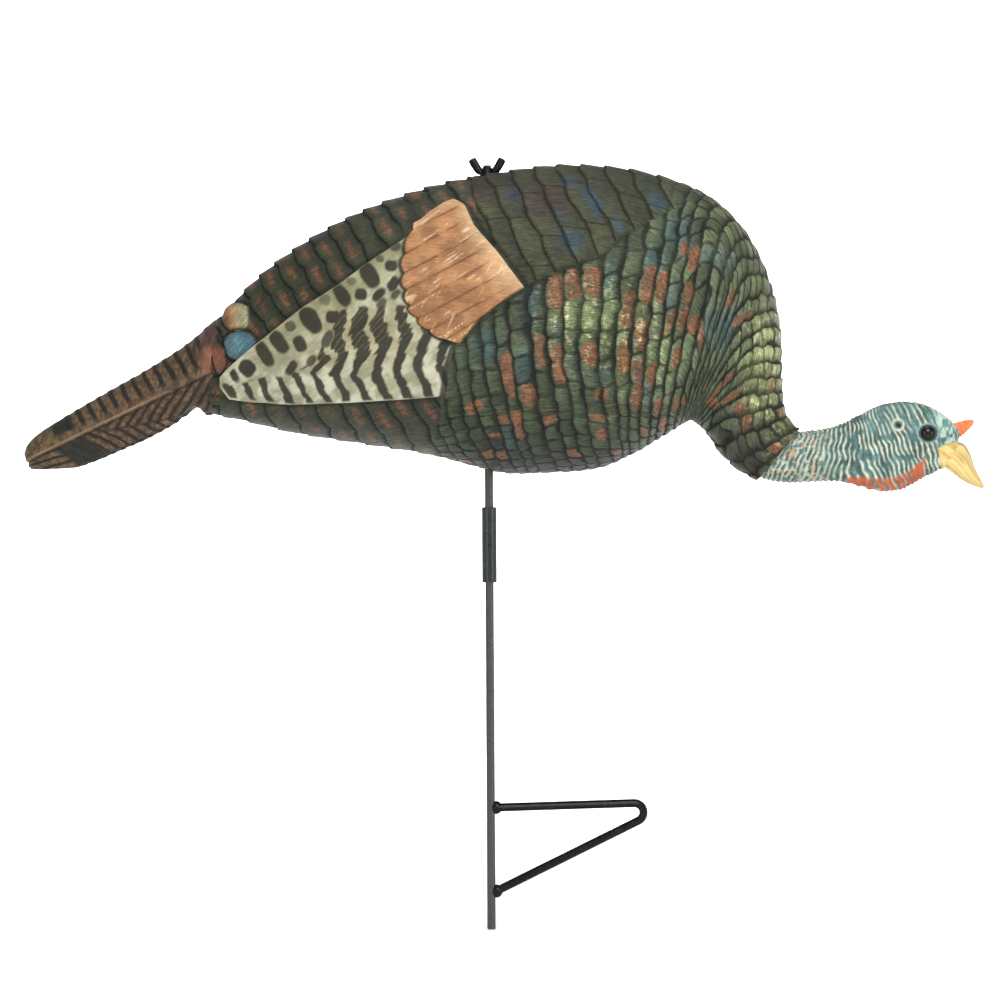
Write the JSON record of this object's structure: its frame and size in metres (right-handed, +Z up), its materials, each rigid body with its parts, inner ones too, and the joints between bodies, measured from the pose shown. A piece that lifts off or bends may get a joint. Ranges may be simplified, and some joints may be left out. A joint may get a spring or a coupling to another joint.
{
  "type": "turkey decoy",
  "caption": "Life-size feeding hen turkey decoy: a hollow foam bird clamped by a wing nut on a take-apart steel ground stake with a foot step.",
  "frame": {"origin": "centre of the flat bottom end of the ground stake", "axes": "+Z up the stake, +X the way the bird faces, +Y the bird's left side"},
  "size_m": [0.8157, 0.22, 0.6569],
  "materials": {
    "foam_shell": "painted foam, satin",
    "foam_tail": "painted foam, satin",
    "foam_head": "painted foam, matte",
    "eye_gloss": "gloss black",
    "coated_steel": "satin dark coating",
    "black_steel": "black oxide",
    "zinc_plate": "zinc plated"
  },
  "bodies": {
    "lower_stake": {"lower_rod": "coated_steel", "foot_step": "coated_steel"},
    "coupler": {"coupler_sleeve": "coated_steel"},
    "decoy": {"body_half_left": "foam_shell", "body_half_right": "foam_shell", "tail_fan": "foam_tail", "head_and_neck": "foam_head", "eye_left": "eye_gloss", "eye_right": "eye_gloss", "upper_rod": "coated_steel", "support_nut": "zinc_plate", "support_washer": "zinc_plate"},
    "clamp_washer": {"clamp_washer": "black_steel"},
    "wing_nut": {"wing_nut": "black_steel"}
  },
  "joints": [
    {"name": "coupler_lift", "type": "slide", "parent": "lower_stake", "child": "coupler", "axis": [0, 0, 1], "range_m": [0, 0.03]},
    {"name": "decoy_swivel", "type": "hinge", "parent": "coupler", "child": "decoy", "pos_m": [0, 0, 0.3268], "axis": [0, 0, 1], "continuous": true},
    {"name": "washer_lift", "type": "slide", "parent": "decoy", "child": "clamp_washer", "axis": [0, 0, 1], "range_m": [0, 0.0085]},
    {"name": "wing_nut_spin", "type": "hinge", "parent": "clamp_washer", "child": "wing_nut", "pos_m": [0, 0, 0.6404], "axis": [0, 0, 1], "range_deg": [0, 2160]}
  ],
  "couplings": [
    {"joint": "washer_lift", "follows": "wing_nut_spin", "m_per_rad": 0.00022459}
  ]
}
